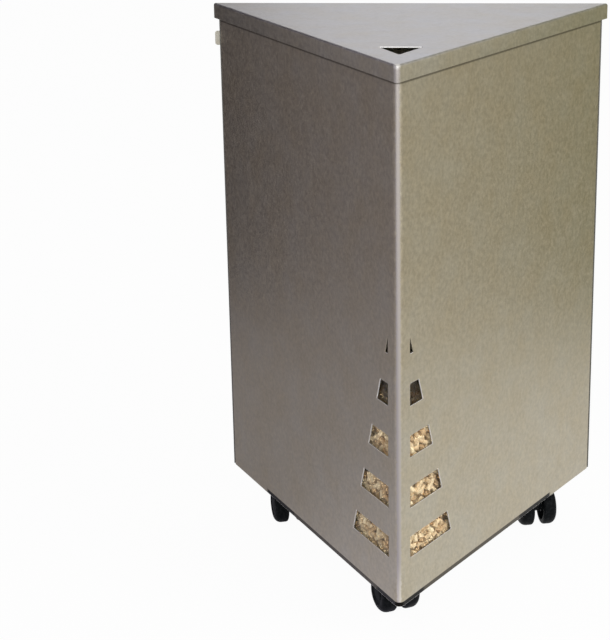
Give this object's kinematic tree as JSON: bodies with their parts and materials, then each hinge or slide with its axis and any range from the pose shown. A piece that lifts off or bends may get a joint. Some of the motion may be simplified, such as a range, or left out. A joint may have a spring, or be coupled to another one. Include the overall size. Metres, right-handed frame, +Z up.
{
  "type": "pellet storage bin",
  "caption": "Triangular steel bin for wood pellets, with a hinged skirted lid, sight windows beside its front corner and swivel casters.",
  "frame": {"origin": "on the floor, under the middle of the bin's bounding box", "axes": "+Z up, -Y towards the windowed front corner, +X to the right seen from the front"},
  "size_m": [0.4906, 0.4322, 0.6752],
  "materials": {
    "wall_steel": "satin stainless sheet, fine even grain",
    "lid_steel": "satin stainless sheet",
    "fitting_steel": "bright zinc plated steel",
    "rivet_steel": "plain stainless",
    "clear_pane": "clear acrylic sheet",
    "pellets": "pressed wood pellets",
    "caster_nylon": "moulded black nylon",
    "caster_tread": "moulded black nylon wheel",
    "hook_plastic": "pale moulded plastic"
  },
  "bodies": {
    "bin": {"front_shell": "wall_steel", "back_panel": "wall_steel", "floor_pan": "wall_steel", "window_pane_left": "clear_pane", "window_pane_right": "clear_pane", "pellet_fill": "pellets", "scoop_hook": "hook_plastic", "scoop_hook_rivet_1": "rivet_steel", "scoop_hook_rivet_2": "rivet_steel", "hinge_left_body_leaf": "fitting_steel", "hinge_left_pin": "fitting_steel", "hinge_left_body_rivet_1": "rivet_steel", "hinge_left_body_rivet_2": "rivet_steel", "hinge_right_body_leaf": "fitting_steel", "hinge_right_pin": "fitting_steel", "hinge_right_body_rivet_1": "rivet_steel", "hinge_right_body_rivet_2": "rivet_steel", "caster_front_plate": "fitting_steel", "caster_front_kingpin": "fitting_steel", "caster_front_rivet_1": "rivet_steel", "caster_front_rivet_2": "rivet_steel", "caster_front_rivet_3": "rivet_steel", "caster_front_rivet_4": "rivet_steel", "caster_left_plate": "fitting_steel", "caster_left_kingpin": "fitting_steel", "caster_left_rivet_1": "rivet_steel", "caster_left_rivet_2": "rivet_steel", "caster_left_rivet_3": "rivet_steel", "caster_left_rivet_4": "rivet_steel", "caster_right_plate": "fitting_steel", "caster_right_kingpin": "fitting_steel", "caster_right_rivet_1": "rivet_steel", "caster_right_rivet_2": "rivet_steel", "caster_right_rivet_3": "rivet_steel", "caster_right_rivet_4": "rivet_steel"},
    "lid": {"lid_cover": "lid_steel", "hinge_left_lid_leaf": "fitting_steel", "hinge_left_lid_rivet_1": "rivet_steel", "hinge_left_lid_rivet_2": "rivet_steel", "hinge_right_lid_leaf": "fitting_steel", "hinge_right_lid_rivet_1": "rivet_steel", "hinge_right_lid_rivet_2": "rivet_steel"},
    "front_caster": {"caster_front_hood": "caster_nylon", "caster_front_axle": "fitting_steel"},
    "front_wheel_left": {"caster_front_wheel_left": "caster_tread"},
    "front_wheel_right": {"caster_front_wheel_right": "caster_tread"},
    "left_caster": {"caster_left_hood": "caster_nylon", "caster_left_axle": "fitting_steel"},
    "left_wheel_left": {"caster_left_wheel_left": "caster_tread"},
    "left_wheel_right": {"caster_left_wheel_right": "caster_tread"},
    "right_caster": {"caster_right_hood": "caster_nylon", "caster_right_axle": "fitting_steel"},
    "right_wheel_left": {"caster_right_wheel_left": "caster_tread"},
    "right_wheel_right": {"caster_right_wheel_right": "caster_tread"}
  },
  "joints": [
    {"name": "lid_hinge", "type": "hinge", "parent": "bin", "child": "lid", "pos_m": [0, 0.21295, 0.6637], "axis": [-1, 0, 0], "range_deg": [0, 100]},
    {"name": "front_swivel", "type": "hinge", "parent": "bin", "child": "front_caster", "pos_m": [0, -0.12115, 0], "axis": [0, 0, 1], "continuous": true},
    {"name": "front_roll_left", "type": "hinge", "parent": "front_caster", "child": "front_wheel_left", "pos_m": [-0.00855, -0.10384, 0.0245], "axis": [0.8965, 0.4431, 0], "continuous": true},
    {"name": "front_roll_right", "type": "hinge", "parent": "front_caster", "child": "front_wheel_right", "pos_m": [-0.00855, -0.10384, 0.0245], "axis": [0.8965, 0.4431, 0], "continuous": true},
    {"name": "left_swivel", "type": "hinge", "parent": "bin", "child": "left_caster", "pos_m": [-0.16258, 0.16045, 0], "axis": [0, 0, 1], "continuous": true},
    {"name": "left_roll_left", "type": "hinge", "parent": "left_caster", "child": "left_wheel_left", "pos_m": [-0.15703, 0.14196, 0.0245], "axis": [-0.9578, -0.2874, 0], "continuous": true},
    {"name": "left_roll_right", "type": "hinge", "parent": "left_caster", "child": "left_wheel_right", "pos_m": [-0.15703, 0.14196, 0.0245], "axis": [-0.9578, -0.2874, 0], "continuous": true},
    {"name": "right_swivel", "type": "hinge", "parent": "bin", "child": "right_caster", "pos_m": [0.16258, 0.16045, 0], "axis": [0, 0, 1], "continuous": true},
    {"name": "right_roll_left", "type": "hinge", "parent": "right_caster", "child": "right_wheel_left", "pos_m": [0.16672, 0.1416, 0.0245], "axis": [-0.9767, -0.2147, 0], "continuous": true},
    {"name": "right_roll_right", "type": "hinge", "parent": "right_caster", "child": "right_wheel_right", "pos_m": [0.16672, 0.1416, 0.0245], "axis": [-0.9767, -0.2147, 0], "continuous": true}
  ]
}
